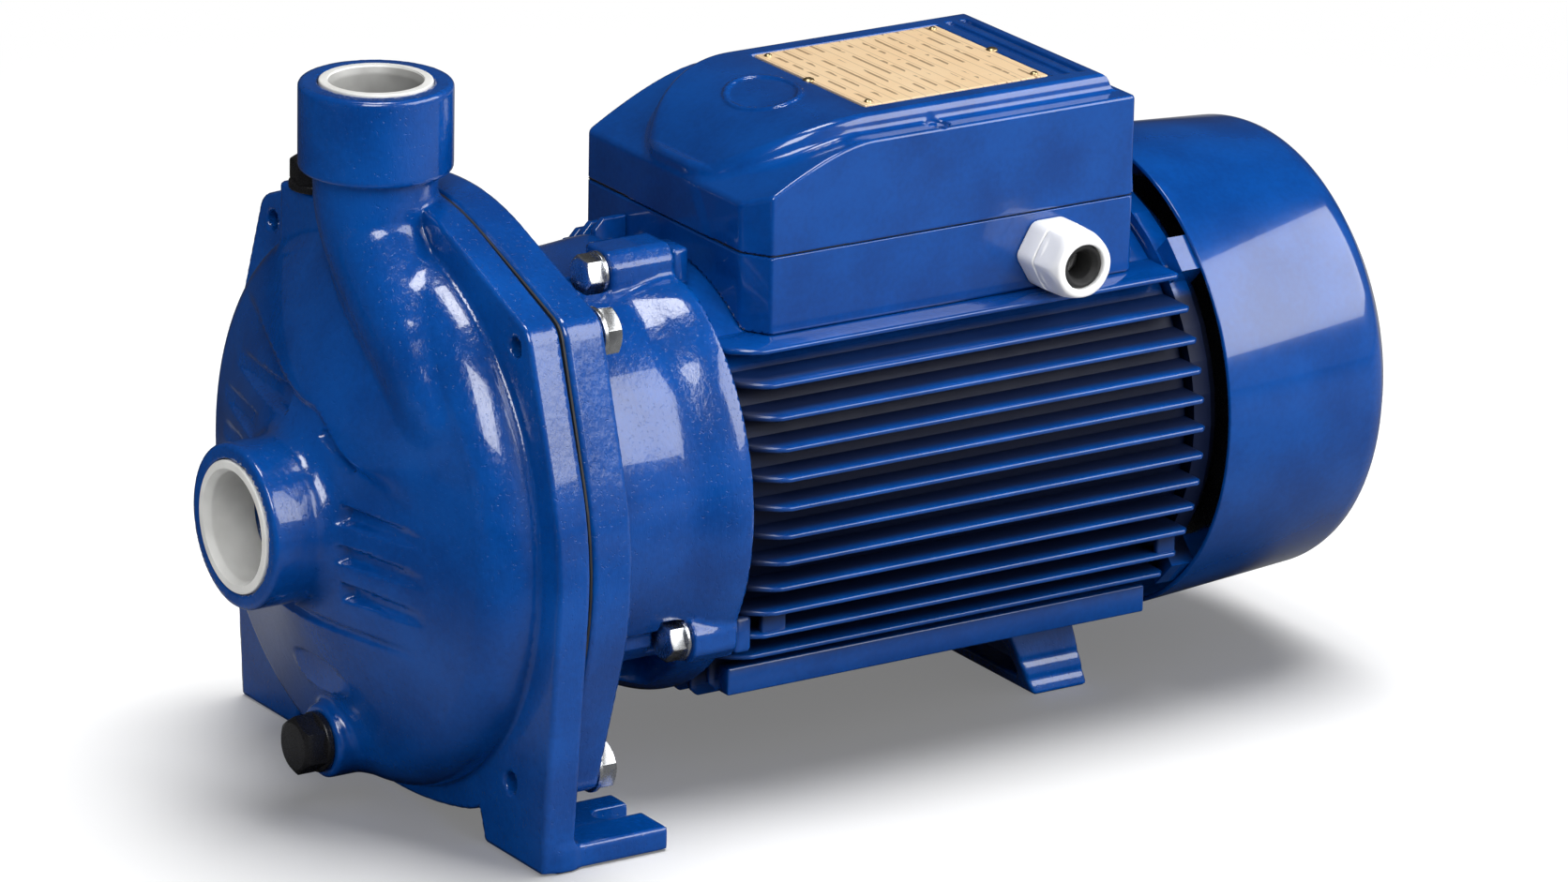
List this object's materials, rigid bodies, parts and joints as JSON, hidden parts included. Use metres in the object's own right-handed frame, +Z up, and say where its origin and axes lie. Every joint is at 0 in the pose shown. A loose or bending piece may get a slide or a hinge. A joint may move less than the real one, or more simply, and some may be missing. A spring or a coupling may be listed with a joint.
{
  "type": "surface water pump",
  "caption": "Close-coupled centrifugal water pump: cast end-suction body on feet, with a finned electric motor, terminal box, cable gland and rear fan cover.",
  "frame": {"origin": "on the floor, in the middle of the pump's length and width", "axes": "+Y runs along the shaft from the suction port to the fan, +Z up, +X to the side of the cable gland"},
  "size_m": [0.23, 0.447, 0.2638],
  "materials": {
    "cast_blue": "glossy blue enamel over a cast surface",
    "sheet_blue": "glossy blue enamel over drawn sheet steel",
    "box_blue": "glossy blue enamel, smoother than the castings",
    "port_white": "satin white plastic",
    "black_plastic": "half-gloss black plastic",
    "black_rubber": "dull black rubber",
    "zinc_steel": "bright zinc plate",
    "bare_steel": "turned steel",
    "brass": "satin brass",
    "white_nylon": "satin white nylon"
  },
  "bodies": {
    "root": {"pump_body": "cast_blue", "motor_bracket": "cast_blue", "motor_housing": "cast_blue", "rear_foot": "cast_blue", "rear_shield": "cast_blue", "fan_cover": "sheet_blue", "terminal_box_base": "box_blue", "terminal_box_lid": "box_blue", "suction_port_ring": "port_white", "discharge_port_ring": "port_white", "priming_plug": "black_plastic", "drain_plug": "black_plastic", "cooling_fan": "black_plastic", "body_gasket": "black_rubber", "terminal_box_gasket": "black_rubber", "shaft_slinger": "black_rubber", "gland_seal": "black_rubber", "body_bolt_upper_right": "zinc_steel", "body_bolt_lower_right": "zinc_steel", "body_bolt_upper_left": "zinc_steel", "body_bolt_lower_left": "zinc_steel", "motor_bolt_top": "zinc_steel", "motor_bolt_right": "zinc_steel", "motor_bolt_left": "zinc_steel", "lid_screw_right": "zinc_steel", "lid_screw_left": "zinc_steel", "motor_shaft": "bare_steel", "impeller": "brass", "nameplate": "brass", "gland_body": "white_nylon", "gland_nut": "white_nylon"}
  },
  "joints": []
}
